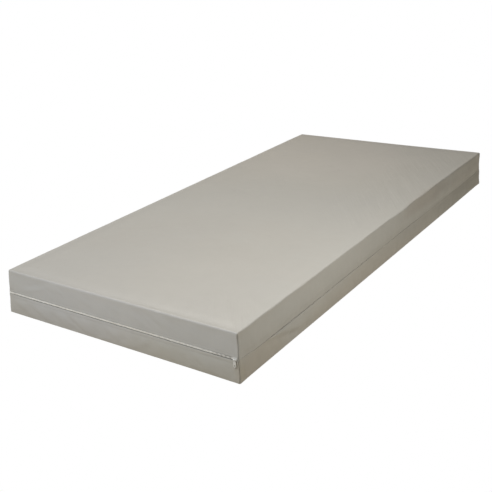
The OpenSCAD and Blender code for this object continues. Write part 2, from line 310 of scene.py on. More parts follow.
def nylon_mat(name, col):
    m, nt, b, vec = new_mat(name)
    n = noise(nt, vec, 80.0, 3.0)
    c = mix_col(nt, ramp(nt, n, 0.35, 0.7), col, [x * 0.86 for x in col])
    c = mix_col(nt, ramp(nt, noise(nt, vec, 4.0), 0.4, 0.65, 0.0, 0.25), c, [col[0] * 0.8, col[1] * 0.76, col[2] * 0.68])
    # painted shade on the coil next to where the slider is parked, where the hem overhangs it, in uneven bands
    sep = node(nt, "ShaderNodeSeparateXYZ")
    nt.links.new(vec, sep.inputs[0])
    slider_shade_bands = node(nt, "ShaderNodeTexWave", wave_type="BANDS", bands_direction="X", in_Scale=22.0, in_Distortion=1.5)
    nt.links.new(vec, slider_shade_bands.inputs["Vector"])
    f = math_node(nt, "MULTIPLY", ramp(nt, sep.outputs["X"], 0.355, 0.385), ramp(nt, slider_shade_bands.outputs["Fac"], 0.2, 0.8, 0.25, 0.75))
    c = mix_col(nt, f, c, (0.50, 0.47, 0.415))
    nt.links.new(c, b.inputs["Base Color"])
    nt.links.new(ramp(nt, n, 0.3, 0.7, 0.32, 0.46), b.inputs["Roughness"])
    b.inputs["Coat Weight"].default_value = 0.1
    nt.links.new(bump(nt, noise(nt, vec, 1500.0, 2.0), 0.15, 0.0002), b.inputs["Normal"])
    return m


def metal_mat(name, col, rough=0.34):
    """Plated die-cast zinc: edges rubbed lighter, painted shade in the hollows, faint scratches along the part."""
    m, nt, b, vec = new_mat(name)
    mp = node(nt, "ShaderNodeMapping")
    mp.inputs["Scale"].default_value = (260.0, 2600.0, 900.0)
    nt.links.new(vec, mp.inputs["Vector"])
    scr = noise(nt, mp.outputs["Vector"], 1.0, 3.0, 0.6)
    blot = noise(nt, vec, 260.0, 3.0)
    p = pointy(nt)
    c = mix_col(nt, ramp(nt, blot, 0.35, 0.7), col, [x * 0.84 for x in col])
    c = mix_col(nt, ramp(nt, p, 0.52, 0.62, 0.0, 0.5), c, [min(1, x * 1.12) for x in col])
    # hollows darkened by pointiness: painted shade
    c = mix_col(nt, ramp(nt, p, 0.48, 0.40, 0.0, 0.6), c, [x * 0.35 for x in col])
    nt.links.new(c, b.inputs["Base Color"])
    b.inputs["Metallic"].default_value = 0.12
    r = math_node(nt, "ADD", ramp(nt, scr, 0.3, 0.7, rough - 0.08, rough + 0.12), ramp(nt, blot, 0.3, 0.7, -0.04, 0.06))
    nt.links.new(r, b.inputs["Roughness"])
    nt.links.new(bump(nt, scr, 0.12, 0.0002), b.inputs["Normal"])
    return m


def foam_mat(name, col, dark, cell=0.0012):
    """Open cell polyurethane foam: fine pores, sub-surface softness."""
    m, nt, b, vec = new_mat(name)
    v = node(nt, "ShaderNodeTexVoronoi", feature="F1", in_Scale=1.0 / cell)
    nt.links.new(vec, v.inputs["Vector"])
    v2 = node(nt, "ShaderNodeTexVoronoi", feature="F1", in_Scale=0.35 / cell)
    nt.links.new(vec, v2.inputs["Vector"])
    big = noise(nt, vec, 3.0, 3.0)
    c = mix_col(nt, ramp(nt, v.outputs["Distance"], 0.1, 0.6), dark, col)
    c = mix_col(nt, ramp(nt, v2.outputs["Distance"], 0.05, 0.22, 0.5, 0.0), c, dark)
    c = mix_col(nt, ramp(nt, big, 0.35, 0.7, 0.0, 0.3), c, [col[0] * 0.94, col[1] * 0.9, col[2] * 0.8])
    nt.links.new(c, b.inputs["Base Color"])
    b.inputs["Roughness"].default_value = 0.92
    b.inputs["Specular IOR Level"].default_value = 0.15
    b.inputs["Sheen Weight"].default_value = 0.3
    n1 = bump(nt, v.outputs["Distance"], 0.55, 0.0005)
    nt.links.new(bump(nt, v2.outputs["Distance"], 0.35, 0.0006, n1), b.inputs["Normal"])
    return m


# the tint patches in each fabric lighten and darken regions as they are lit: painted light and painted shade
MAT = {
    "top": fabric_coated("coated_fabric_top", (0.505, 0.480, 0.433), (0.520, 0.490, 0.436), (0.435, 0.412, 0.366),
                         light_shade_patches=(((0.45, 0.36, 0.116), (0.03, 0.26, 0.034), (0.93, 0.90, 0.88), 1.0),
                                  ((0.45, 0.85, 0.10), (0.03, 0.30, 0.05), (1.0, 0.985, 0.97), 1.0),
                                  ((0.0, -0.95, 0.15), (0.80, 0.80, 0.035), (0.988, 0.974, 0.958), 1.0),
                                  ((-0.15, 0.70, 0.15), (0.50, 0.50, 0.035), (1.06, 1.05, 1.055), 1.0),
                                  ((-0.12, -1.0, 0.100), (0.34, 0.03, 0.075), (1.035, 1.035, 1.05), 1.0)),
                         streaks=True),
    # the base is a darker, browner copy of the top fabric: painted floor reflection and painted shade
    "base": fabric_coated("coated_fabric_base", (0.480, 0.452, 0.400), (0.500, 0.462, 0.398), (0.405, 0.378, 0.328),
                          light_shade_patches=(((0.45, -0.90, 0.025), (0.03, 0.17, 0.045), (0.985, 0.955, 0.92), 1.0),
                                   ((0.45, 0.88, 0.020), (0.03, 0.46, 0.060), (0.945, 0.945, 0.935), 1.0),
                                   ((0.45, -0.20, 0.020), (0.03, 0.50, 0.050), (0.985, 0.965, 0.945), 1.0),
                                   ((0.38, -1.00, 0.020), (0.40, 0.03, 0.060), (0.97, 0.965, 0.935), 1.0),
                                   ((-0.14, -1.00, 0.030), (0.30, 0.03, 0.070), (1.03, 1.03, 1.05), 1.0))),
    "lining": knit_backing("knit_lining", (0.66, 0.65, 0.61), (0.58, 0.57, 0.53)),
    "seam": thread_mat("seam_thread_dark", (0.10, 0.092, 0.078)),
    "seam_side_shade": side_thread_shade_mat("seam_thread_side_shade", (0.045, 0.041, 0.035), (0.11, 0.10, 0.085), (0.43, 0.405, 0.36)),
    "stitch": thread_mat("hem_thread", (0.44, 0.42, 0.375)),
    # the zip tape is coloured dark so the gaps beside the coil read as a shadow line: painted shade
    "tape": tape_mat("woven_zip_tape", (0.26, 0.245, 0.215), (0.17, 0.16, 0.14)),
    "coil": nylon_mat("nylon_coil", (0.96, 0.92, 0.84)),
    "metal": metal_mat("lacquered_zinc", (0.80, 0.77, 0.70)),
    # the tab is a darker copy of the slider's zinc: painted shade
    "tab": metal_mat("lacquered_zinc_tab_shaded", (0.70, 0.67, 0.60)),
    "foam_top": foam_mat("viscoelastic_foam", (0.86, 0.81, 0.66), (0.70, 0.64, 0.48), 0.0010),
    "foam_base": foam_mat("support_foam", (0.55, 0.68, 0.72), (0.38, 0.50, 0.55), 0.0014),
    "foam_rail": foam_mat("rail_foam", (0.40, 0.49, 0.58), (0.26, 0.33, 0.41), 0.0013),
}


# ---------------------------------------------------------------- mesh helpers
def make_obj(name, verts, faces, mats, smooth_shade=True, face_mats=None):
    me = bpy.data.meshes.new(name)
    verts = np.asarray(verts, float)
    me.from_pydata([tuple(v) for v in verts], [], [tuple(int(i) for i in f) for f in faces])
    for m in mats:
        me.materials.append(m)
    if face_mats is not None:
        me.polygons.foreach_set("material_index", np.asarray(face_mats, np.int32))
    me.polygons.foreach_set("use_smooth", np.full(len(me.polygons), smooth_shade))
    me.validate()
    me.update()
    o = bpy.data.objects.new(name, me)
    scene.collection.objects.link(o)
    return o


def get_co(o):
    co = np.zeros(len(o.data.vertices) * 3)
    o.data.vertices.foreach_get("co", co)
    return co.reshape(-1, 3)


def set_co(o, co):
    o.data.vertices.foreach_set("co", np.asarray(co, np.float32).ravel())
    o.data.update()


def normals(o):
    n = np.zeros(len(o.data.vertices) * 3)
    o.data.vertices.foreach_get("normal", n)
    return n.reshape(-1, 3)


def samples(half, fine, step):
    fine = np.array(fine)
    inner = half - fine[-1]
    n = int(round(2 * inner / step))
    return np.concatenate([-(half - fine[:-1]), np.linspace(-inner, inner, n + 1), (half - fine[:-1])[::-1]])


def wrinkle(u, v, u0, v0, ang, length, width, amp):
    """A soft straight crease: a ridge of the given width along a line, fading at both ends."""
    c, s = math.cos(math.radians(ang)), math.sin(math.radians(ang))
    a = (u - u0) * c + (v - v0) * s
    b = -(u - u0) * s + (v - v0) * c
    along = smooth(1 - np.abs(a) / (length / 2))
    ridge = np.exp(-((b / width) ** 2)) - 0.55 * np.exp(-(((b - 1.5 * width) / width) ** 2))
    return amp * along * ridge


def waves(u, v, seed, count, lmin, lmax, amp, ang0=0.0, spread=180.0):
    """Sum of a few seeded sine waves: a smooth, deterministic, uneven surface."""
    g = np.random.default_rng(seed)
    total = np.zeros_like(u)
    for _ in range(count):
        a = math.radians(ang0 + (g.random() - 0.5) * spread)
        lam = lmin * (lmax / lmin) ** g.random()
        total += np.sin(2 * math.pi * (u * math.cos(a) + v * math.sin(a)) / lam + g.random() * 6.283)
    return amp * total / math.sqrt(count)


# ---------------------------------------------------------------- cover halves
FINE = [0, 0.0007, 0.0016, 0.0028, 0.0043, 0.006, 0.0085, 0.012, 0.017, 0.024, 0.033]
XS = samples(WX, FINE, 0.0125)
YS = samples(WY, FINE, 0.0105)
NX, NY = len(XS), len(YS)
LOOP = ([(i, 0) for i in range(NX - 1)] + [(NX - 1, j) for j in range(NY - 1)]
        + [(i, NY - 1) for i in range(NX - 1, 0, -1)] + [(0, j) for j in range(NY - 1, 0, -1)])
LX = np.array([XS[i] for i, j in LOOP])
LY = np.array([YS[j] for i, j in LOOP])
NL = len(LOOP)
IS_RIGHT = (np.abs(LX - WX) < 1e-6)
SEAM_SIDE = smooth((LX - 0.4436) / 0.0038)     # 0 where the zip runs, 1 at the sewn side and its corners


def seam_line(y):
    """Height of the sewn line along the right side: level, rising to the zip at both corners, with a little sag."""
    t = np.clip((WY - 0.006 - np.abs(y)) / (RISE_L - 0.006), 0, 1)
    sag = 0.0013 * smooth((y + 0.70) / 0.40) - 0.0006 * bell(y, -0.68, 0.12)
    return MID - (MID - SIDE_Z) * t + sag * smooth(t)


def edge_line():
    """Height of the line where the cover halves meet, for each point round the mattress."""
    return np.where(IS_RIGHT, seam_line(LY), MID)


def build_half(name, upper):
    flat = H if upper else 0.0
    sg = 1.0 if upper else -1.0
    gap = GAP_UP if upper else GAP_LOW
    near = (0.00012 + 0.00075 * smooth((LY + 0.90) / 0.08) * smooth((-0.04 - LY) / 0.22) + 0.00055 * bell(LY, -0.70, 0.16)
            + 0.00045 * bell(LY, 0.14, 0.15) + 0.0002 * bell(LY, -0.93, 0.06))
    e_line = edge_line() + sg * (gap * (1 - SEAM_SIDE) + near * SEAM_SIDE)
    near_flat = np.array([0.0010, 0.0022, 0.0036, 0.0050, 0.0068, 0.0090, 0.012, 0.016])
    near_edge = np.array([0.0165, 0.0130, 0.0105, 0.0090, 0.0080, 0.0070, 0.0058, 0.0044, 0.0030, 0.0018, 0.0008, 0.0])
    n_mid = 8
    rows = [np.full(NL, flat) - sg * d for d in near_flat]
    a, b = flat - sg * (near_flat[-1] + 0.004), e_line + sg * (near_edge[0] + 0.004)
    rows += [a + (b - a) * k / (n_mid - 1) for k in range(n_mid)]
    rows += [e_line + sg * d for d in near_edge]
    # cuboid points before rounding
    gx, gy = np.meshgrid(XS, YS, indexing="ij")
    flat_pts = np.stack([gx.ravel(), gy.ravel(), np.full(gx.size, flat)], 1)
    wall_pts = np.concatenate([np.stack([LX, LY, r], 1) for r in rows])
    p = np.concatenate([flat_pts, wall_pts])
    kind = np.concatenate([np.zeros(len(flat_pts), int), np.ones(len(wall_pts), int)])
    # rounding: own radii for upright corners, long edges and end edges
    fz = sg * (flat - p[:, 2])            # distance from the flat face
    end = smooth((np.abs(p[:, 1]) - (WY - 0.06)) / 0.05)
    crisp = smooth((p[:, 0] - 0.30) / 0.12)
    if upper:
        my = 0.006 - 0.001 * smooth(1 - fz / 0.02) - 0.0016 * crisp
        mz = 0.0040 + 0.0012 * end
        mx = 0.006 - 0.0014 * smooth(1 - fz / 0.02) * (1 - end) - 0.0016 * crisp * end
    else:
        my = 0.006 - 0.0016 * crisp
        mz = 0.0055 - 0.0012 * crisp * end
        mx = 0.006 - 0.0016 * crisp * end
    m = np.stack([mx, my, mz], 1)
    inner = p.copy()
    inner[:, 0] = np.clip(p[:, 0], -(WX - mx), WX - mx)
    inner[:, 1] = np.clip(p[:, 1], -(WY - my), WY - my)
    inner[:, 2] = np.minimum(p[:, 2], flat - mz) if upper else np.maximum(p[:, 2], flat + mz)
    d = (p - inner) / m
    ln = np.linalg.norm(d, axis=1, keepdims=True)
    ln[ln < 1e-9] = 1.0
    rounded = inner + m * d / ln
    out2 = np.stack([d[:, 0], d[:, 1]], 1)
    l2 = np.linalg.norm(out2, axis=1, keepdims=True)
    l2[l2 < 1e-9] = 1.0
    out2 = out2 / l2                        # horizontal outward direction
    # faces
    faces = []
    gi = np.arange(NX * NY).reshape(NX, NY)
    for i in range(NX - 1):
        for j in range(NY - 1):
            q = (gi[i, j], gi[i + 1, j], gi[i + 1, j + 1], gi[i, j + 1])
            faces.append(q if upper else q[::-1])
    border = np.array([gi[i, j] for i, j in LOOP])
    prev = border
    base = NX * NY
    for k in range(len(rows)):
        cur = base + k * NL + np.arange(NL)
        for s in range(NL):
            t = (s + 1) % NL
            q = (cur[s], cur[t], prev[t], prev[s])
            faces.append(q if upper else q[::-1])
        prev = cur
    o = make_obj(name, rounded, faces, [MAT["top" if upper else "base"], MAT["lining"]])
    info = {
        "cuboid": p, "kind": kind, "out2": out2, "flat": flat, "sg": sg, "rows": len(rows),
        "wall0": base, "near_edge": near_edge, "n_mid": n_mid, "n_flat": len(near_flat),
        "edge": np.concatenate([np.zeros(len(flat_pts)), np.tile(e_line, len(rows))]),
        "seam": np.concatenate([np.zeros(len(flat_pts)), np.tile(SEAM_SIDE, len(rows))]),
        "border": border,
    }
    return o, info


def cloth_puff(o, info, pressure, cap, frames=16):
    """Blow the half up a little as cloth with its hem, seams and corners held, then keep a capped share of the move."""
    p, kind = info["cuboid"], info["kind"]
    rest = get_co(o)
    e = np.abs(p[:, 2] - info["edge"])
    dc = np.hypot(WX - np.abs(p[:, 0]), WY - np.abs(p[:, 1]))
    hold = np.zeros(len(p))
    hold = np.maximum(hold, np.where(kind == 1, smooth(1 - (e - 0.004) / 0.012), 0))
    hold = np.maximum(hold, smooth(1 - (dc - 0.002) / 0.010))
    if info["sg"] < 0:
        hold = np.maximum(hold, np.where(kind == 0, 1.0, smooth(1 - p[:, 2] / 0.008)))
    else:
        rim = np.minimum(WX - np.abs(p[:, 0]), WY - np.abs(p[:, 1]))
        rim = np.where(kind == 0, rim, H - p[:, 2])
        hold = np.maximum(hold, smooth(1 - (rim - 0.006) / 0.040))
        hold = np.maximum(hold, np.where((kind == 1) & (np.abs(p[:, 0]) < WX - 1e-4), 0.7, 0.0))
    vg = o.vertex_groups.new(name="hold")
    q = np.round(hold * 16).astype(int)
    for w in range(1, 17):
        idx = np.nonzero(q == w)[0]
        if len(idx):
            vg.add([int(i) for i in idx], w / 16.0, "REPLACE")
    bpy.context.view_layer.objects.active = o
    md = o.modifiers.new("Cloth", "CLOTH")
    st = md.settings
    st.quality = 4
    st.mass = 0.25
    st.tension_stiffness = 12
    st.compression_stiffness = 8
    st.shear_stiffness = 4
    st.bending_stiffness = 0.6
    st.use_pressure = True
    st.uniform_pressure_force = pressure
    st.vertex_group_mass = "hold"
    st.shrink_min = -0.006
    st.effector_weights.gravity = 0.0
    md.collision_settings.use_collision = False
    md.collision_settings.use_self_collision = False
    md.point_cache.frame_start = 1
    md.point_cache.frame_end = frames
    scene.frame_start, scene.frame_end = 1, frames
    for f in range(1, frames + 1):
        scene.frame_set(f)
    dg = bpy.context.evaluated_depsgraph_get()
    ev = o.evaluated_get(dg)
    co = np.zeros(len(rest) * 3)
    ev.data.vertices.foreach_get("co", co)
    co = co.reshape(-1, 3)
    o.modifiers.remove(md)
    o.vertex_groups.remove(vg)
    scene.frame_set(1)
    mv = co - rest
    ln = np.linalg.norm(mv, axis=1, keepdims=True)
    ln[ln < 1e-12] = 1e-12
    kept = np.where(ln < 1e-9, 0, cap * np.tanh(ln / cap) / ln)
    mv = mv * kept * (1 - hold)[:, None]
    if not np.isfinite(mv).all():
        print("cloth: not finite, left out")
        return 0.0
    set_co(o, rest + mv)
    print("cloth", o.name, "largest move mm", round(float(np.linalg.norm(mv, axis=1).max()) * 1000, 2))
    return 1.0


def dress(o, info):
    """Seams, hems, bulges and creases, after the cloth step."""
    p, kind, sg = info["cuboid"], info["kind"], info["sg"]
    upper = sg > 0
    co = get_co(o)
    n = normals(o)
    x, y, z = p[:, 0], p[:, 1], p[:, 2]
    wall = kind == 1
    e = sg * (z - info["edge"])                     # height above the hem or seam
    span = np.abs(info["flat"] - info["edge"])
    w = np.where(wall, np.clip(e / np.where(span < 1e-6, 1, span), 0, 1), 1.0)
    right = wall & (np.abs(x - WX) < 1e-6)
    left = wall & (np.abs(x + WX) < 1e-6)
    foot = wall & (np.abs(y + WY) < 1e-6) & ~right & ~left
    head = wall & (np.abs(y - WY) < 1e-6) & ~right & ~left
    along = np.where(right | left, WY - np.abs(y), WX - np.abs(x))     # distance to the nearest corner
    env = smooth(along / 0.07)
    out = np.zeros(len(p))                          # horizontal push outwards
    # hem on the zip sides: stitch line pressed in, lip drawn in a little
    zip_w = (1 - info["seam"]) * wall
    hem = -0.00025 * bell(e, 0.0080, 0.0011) - 0.0004 * bell(e, 0.0, 0.0012)
    out += zip_w * hem
    # sewn side: the fabric turns in to the seam
    seam_w = info["seam"] * right
    slack = smooth((y + 0.88) / 0.07) * smooth((-0.10 - y) / 0.28)
    depth = 0.0003 * bell(y, 0.12, 0.16) + 0.0002 * smooth((0.45 - y) / 0.3)
    if upper:
        # where the fabric is slack the upper panel hangs a little over the seam
        out += seam_w * (-depth * (1 - slack) * np.exp(-np.clip(e, 0, 1) / 0.0022) + 0.0002 * slack * bell(e, 0.0026, 0.0035))
    else:
        out += -(depth + 0.0024 * slack) * seam_w * np.exp(-np.clip(e, 0, 1) / 0.0028)
    # panels are full between their seams
    if upper:
        out += np.where(right, 0.0020, 0.0004) * env * np.sin(np.pi * w) * wall
        out += right * 0.0007 * env * bell(e, 0.015, 0.010) * smooth((0.30 - y) / 0.35)
        # slack panel: full just before the middle of the long side, hollow just after it
        out += right * env * np.sin(np.pi * w) ** 0.7 * (
            0.0022 * bell(y, 0.02, 0.13) - 0.0030 * bell(y, 0.33, 0.15) + 0.0012 * bell(y, 0.62, 0.12))
    else:
        yy = y
        yb = yy + 0.865 - 0.20 * np.clip((0.060 - z) / 0.045, 0, 1)
        side_full = 0.0008 + 0.0036 * smooth(yb / 0.11) * (1 - 0.80 * smooth((yy + 0.25) / 0.75))
        out += right * side_full * env * np.sin(np.pi * np.clip(w, 0, 1) ** (0.95 - 0.28 * smooth((0.05 - yy) / 0.25)))
        out += (foot | head | left) * 0.0019 * env * np.sin(np.pi * w ** 0.8)
    # ---- creases on each panel, u along the panel and v up
    rid = np.zeros(len(p))
    fade = smooth(e / 0.010) * smooth((1 - w) / 0.18) * wall
    if upper:
        rid += right * fade * (
            wrinkle(y, z, 0.02, 0.100, 62, 0.10, 0.010, 0.0012) + wrinkle(y, z, 0.10, 0.098, 66, 0.11, 0.012, 0.0018)
            + wrinkle(y, z, -0.12, 0.100, 58, 0.09, 0.012, 0.0009) + wrinkle(y, z, 0.17, 0.112, 38, 0.13, 0.010, -0.0012)
            + wrinkle(y, z, 0.36, 0.112, 30, 0.14, 0.012, -0.0009) + wrinkle(y, z, 0.46, 0.098, 34, 0.12, 0.011, 0.0009)
            + wrinkle(y, z, 0.60, 0.102, 40, 0.13, 0.012, 0.0009) + wrinkle(y, z, -0.42, 0.096, 52, 0.10, 0.010, 0.0006)
            + wrinkle(y, z, -0.93, 0.100, 120, 0.07, 0.008, 0.0006) + wrinkle(y, z, 0.84, 0.094, 60, 0.09, 0.010, 0.0007)
            + waves(y, z * 2.5, 3, 7, 0.12, 0.36, 0.00020))
        rid += 1.7 * foot * fade * (
            wrinkle(x, z, 0.01, 0.112, 150, 0.11, 0.009, 0.0009) + wrinkle(x, z, 0.18, 0.112, 148, 0.12, 0.009, 0.0010)
            + wrinkle(x, z, 0.09, 0.100, 152, 0.10, 0.009, 0.0007) + wrinkle(x, z, 0.29, 0.110, 144, 0.11, 0.009, 0.0009)
            + wrinkle(x, z, 0.38, 0.096, 128, 0.09, 0.009, 0.0009) + wrinkle(x, z, -0.10, 0.104, 156, 0.12, 0.009, 0.0006)
            + wrinkle(x, z, -0.33, 0.098, 14, 0.16, 0.008, 0.0007) + wrinkle(x, z, -0.24, 0.118, 168, 0.12, 0.009, 0.0006)
            + waves(x, z * 2.0, 5, 6, 0.10, 0.35, 0.00025))
        rid += (left | head) * fade * waves(x + y, z * 2.2, 9, 7, 0.08, 0.32, 0.00032)
        # the top edge of the long side is not quite straight
        edge_w = right * smooth(1 - (H - z) / 0.05)
        out += edge_w * (0.0020 * bell(y, 0.13, 0.07) - 0.0016 * bell(y, 0.24, 0.06) + 0.0018 * bell(y, 0.36, 0.06)
                         - 0.0010 * bell(y, -0.05, 0.08) - 0.0012 * bell(y, 0.47, 0.05)
                         + waves(y, z * 0, 21, 5, 0.12, 0.4, 0.00045)) * smooth(along / 0.15)
        out += left * smooth(1 - (H - z) / 0.05) * (0.0014 + waves(y, z * 0, 23, 5, 0.12, 0.4, 0.0004)) * smooth(along / 0.15)
    else:
        # the fold that starts at the seam by the near corner and runs down along the panel
        t = np.clip((y + 0.86) / 0.20, 0, 1)
        line = 0.0585 - 0.042 * t ** 1.2
        rid += right * smooth((y + 0.885) / 0.04) * smooth((-0.62 - y) / 0.09) * smooth(e / 0.004) * smooth((1 - w) / 0.2) * (
            0.0018 * np.exp(-(((z - line - 0.008) / 0.009) ** 2)) - 0.0022 * np.exp(-(((z - line + 0.006) / 0.009) ** 2)))
        rid += right * fade * (
            wrinkle(y, z, -0.30, 0.034, 24, 0.16, 0.010, 0.0010) + wrinkle(y, z, 0.12, 0.034, 30, 0.14, 0.010, 0.0010)
            + wrinkle(y, z, -0.95, 0.036, 60, 0.06, 0.008, 0.0008) + wrinkle(y, z, 0.48, 0.032, 22, 0.15, 0.009, 0.0007)
            + waves(y, z * 2.5, 13, 7, 0.09, 0.30, 0.00032))
        rid += 1.7 * foot * fade * (
            wrinkle(x, z, -0.39, 0.036, 152, 0.12, 0.009, 0.0011) + wrinkle(x, z, -0.30, 0.032, 150, 0.14, 0.009, 0.0011)
            + wrinkle(x, z, -0.21, 0.036, 152, 0.13, 0.008, 0.0008) + wrinkle(x, z, -0.12, 0.032, 146, 0.13, 0.008, 0.0009)
            + wrinkle(x, z, 0.00, 0.034, 150, 0.15, 0.009, 0.0010) + wrinkle(x, z, 0.12, 0.036, 40, 0.08, 0.008, 0.0008)
            + wrinkle(x, z, 0.20, 0.034, 140, 0.13, 0.009, 0.0008) + wrinkle(x, z, 0.33, 0.034, 138, 0.10, 0.009, 0.0009)
            + waves(x, z * 2.0, 15, 6, 0.10, 0.35, 0.00028))
        rid += (left | head) * fade * waves(x + y, z * 2.2, 19, 7, 0.08, 0.32, 0.00036)
    # upright corner seams: the line is drawn in, with a little pucker either side, and is not quite straight
    dc = np.hypot(WX - np.abs(x), WY - np.abs(y))
    seam_v = wall * smooth(np.abs(info["flat"] - z) / 0.004)
    out += seam_v * (-0.0016 * np.exp(-((dc / 0.0011) ** 2)) + 0.0006 * bell(dc, 0.0055, 0.0030)
                     * (1 + 0.5 * np.sin(z * 2 * math.pi / 0.011 + np.sign(x) * 2)))
    co[:, 0] += info["out2"][:, 0] * out
    co[:, 1] += info["out2"][:, 1] * out
    co += n * rid[:, None]
    # the soft corners do not stand quite true
    far_r = smooth((y - 0.55) / 0.45) * smooth((x - 0.05) / 0.40)
    near_l = smooth((-y - 0.60) / 0.40) * smooth((-x - 0.05) / 0.40)
    if upper:
        lift = smooth((z - 0.070) / 0.070)
        co[:, 0] += 0.0045 * far_r * lift
        co[:, 1] += 0.0060 * far_r * lift
    else:
        low = smooth((0.058 - z) / 0.058)
        co[:, 0] += -0.0015 * far_r * low
        co[:, 1] += -0.0022 * far_r * low - 0.0010 * near_l * low
    # the near left corner stands a little short, the left top edge a little proud
    nl = smooth((-x - 0.30) / 0.15) * smooth((-y - 0.80) / 0.19) * wall * smooth(e / 0.012)
    co[:, 0] += 0.0016 * nl
    # the corner line wanders a little
    sway = wall * np.exp(-((dc / 0.02) ** 2)) * smooth(e / 0.01)
    co[:, 0] += sway * 0.0007 * np.sin(z * 2 * math.pi / 0.075 + 1.1 + np.sign(y))
    co[:, 1] -= sway * 0.0007 * np.sin(z * 2 * math.pi / 0.075 + 0.6 + np.sign(x))
    # top sheet: a slight crown, soft unevenness, faint creases fanning in from the corners and the right edge
    if upper:
        ex, ey = WX - np.abs(x), WY - np.abs(y)
        inner = smooth(np.minimum(ex, ey) / 0.09)
        tz = 0.0010 * smooth(ex / 0.35) * smooth(ey / 0.5)
        tz = tz + inner * waves(x, y, 31, 9, 0.22, 0.7, 0.00026)
        creases = np.zeros(len(p))
        for (u0, v0, a, L, wd, am) in (
                (0.37, 0.04, 112, 0.24, 0.012, 0.0008), (0.36, 0.16, 116, 0.28, 0.013, 0.0010), (0.35, 0.29, 118, 0.30, 0.013, 0.0011),
                (0.36, 0.41, 120, 0.28, 0.012, 0.0010), (0.35, 0.53, 124, 0.28, 0.013, 0.0009), (0.36, 0.66, 126, 0.24, 0.012, 0.0008),
                (0.38, -0.12, 110, 0.20, 0.011, 0.0006), (0.30, -0.02, 114, 0.18, 0.014, 0.0006), (0.25, 0.36, 122, 0.24, 0.014, 0.0006),
                (0.36, -0.90, 125, 0.20, 0.011, 0.0007), (0.30, -0.92, 112, 0.18, 0.010, 0.0006), (0.24, -0.93, 104, 0.16, 0.010, 0.0005),
                (0.40, -0.82, 145, 0.18, 0.011, 0.0006), (-0.36, -0.92, 62, 0.18, 0.012, 0.0004), (-0.37, 0.90, 120, 0.20, 0.012, 0.0006),
                (0.37, 0.90, 60, 0.18, 0.012, 0.0006), (-0.38, 0.10, 72, 0.20, 0.012, 0.0005), (-0.37, -0.35, 108, 0.20, 0.012, 0.0005)):
            creases += wrinkle(x, y, u0, v0, a, L, wd, am)
        tz = tz + creases * smooth(np.minimum(ex, ey) / 0.03)
        co[:, 2] += np.where(kind == 0, tz, 0.0)
    else:
        # nothing goes below the floor
        co[:, 2] = np.maximum(co[:, 2], 0.0)
    set_co(o, co)


def thicken(o, t):
    md = o.modifiers.new("thick", "SOLIDIFY")
    md.thickness = t
    md.offset = -1.0
    md.use_even_offset = False
    md.use_rim = True
    md.material_offset = 1
    md.material_offset_rim = 0
    bpy.context.view_layer.objects.active = o
    with bpy.context.temp_override(object=o, active_object=o, selected_objects=[o]):
        bpy.ops.object.modifier_apply(modifier=md.name)


upper_o, upper_i = build_half("upper_cover_fabric", True)
lower_o, lower_i = build_half("lower_cover_fabric", False)
cloth_puff(upper_o, upper_i, 4.0, 0.0018)
cloth_puff(lower_o, lower_i, 4.0, 0.0022)
dress(upper_o, upper_i)
dress(lower_o, lower_i)


# ---------------------------------------------------------------- paths
def path_len(off, x_end):
    r = CORNER_R + off
    return 2 * (x_end + WX - CORNER_R) + 2 * (WY - CORNER_R) + math.pi * r


def path_at(s, off, x_end):
    """Point and outward direction at length s round the U of the zip: foot end, left side, head end."""
    s = np.asarray(s, float)
    r = CORNER_R + off
    a, q, b = x_end + WX - CORNER_R, math.pi / 2 * r, 2 * (WY - CORNER_R)
    cx, cy = -(WX - CORNER_R), WY - CORNER_R
    pos = np.zeros((len(s), 2))
    nor = np.zeros((len(s), 2))
    for i, v in enumerate(s):
        if v < a:
            pos[i], nor[i] = (x_end - v, -WY - off), (0, -1)
        elif v < a + q:
            t = (v - a) / r
            nor[i] = (-math.sin(t), -math.cos(t))
            pos[i] = (cx + r * nor[i][0], -cy + r * nor[i][1])
        elif v < a + q + b:
            pos[i], nor[i] = (-WX - off, -cy + (v - a - q)), (-1, 0)
        elif v < a + 2 * q + b:
            t = (v - a - q - b) / r
            nor[i] = (-math.cos(t), math.sin(t))
            pos[i] = (cx + r * nor[i][0], cy + r * nor[i][1])
        else:
            pos[i], nor[i] = (cx + (v - a - 2 * q - b), WY + off), (0, 1)
    return pos, nor


def capsule(nr, nt):
    """Unit capsule-like bead, long axis Z: returns verts and faces."""
    v, f = [(0, 0, 1.0)], []
    for k in range(1, nt):
        th = math.pi * k / nt
        rr = math.sin(th) ** 0.62
        for j in range(nr):
            ph = 2 * math.pi * j / nr
            v.append((rr * math.cos(ph), rr * math.sin(ph), math.copysign(abs(math.cos(th)) ** 0.8, math.cos(th))))
    v.append((0, 0, -1.0))
    last = len(v) - 1
    for j in range(nr):
        f.append((0, 1 + j, 1 + (j + 1) % nr))
        f.append((last, last - 1 - j, last - 1 - (j + 1) % nr))
    for k in range(nt - 2):
        for j in range(nr):
            a, b = 1 + k * nr + j, 1 + k * nr + (j + 1) % nr
            f.append((a, a + nr, b + nr, b))
    return np.array(v), f


def scatter(name, centres, ax, ay, az, size, template, mat):
    """Copies of a template at each centre, with its three axes and half sizes."""
    tv, tf = template
    n = len(centres)
    V = (centres[:, None, :] + tv[None, :, 0:1] * (ax * size[:, 0:1])[:, None, :]
         + tv[None, :, 1:2] * (ay * size[:, 1:2])[:, None, :] + tv[None, :, 2:3] * (az * size[:, 2:3])[:, None, :])
    faces = []
    for k in range(n):
        b = k * len(tv)
        faces += [tuple(b + i for i in f) for f in tf]
    return make_obj(name, V.reshape(-1, 3), faces, [mat])


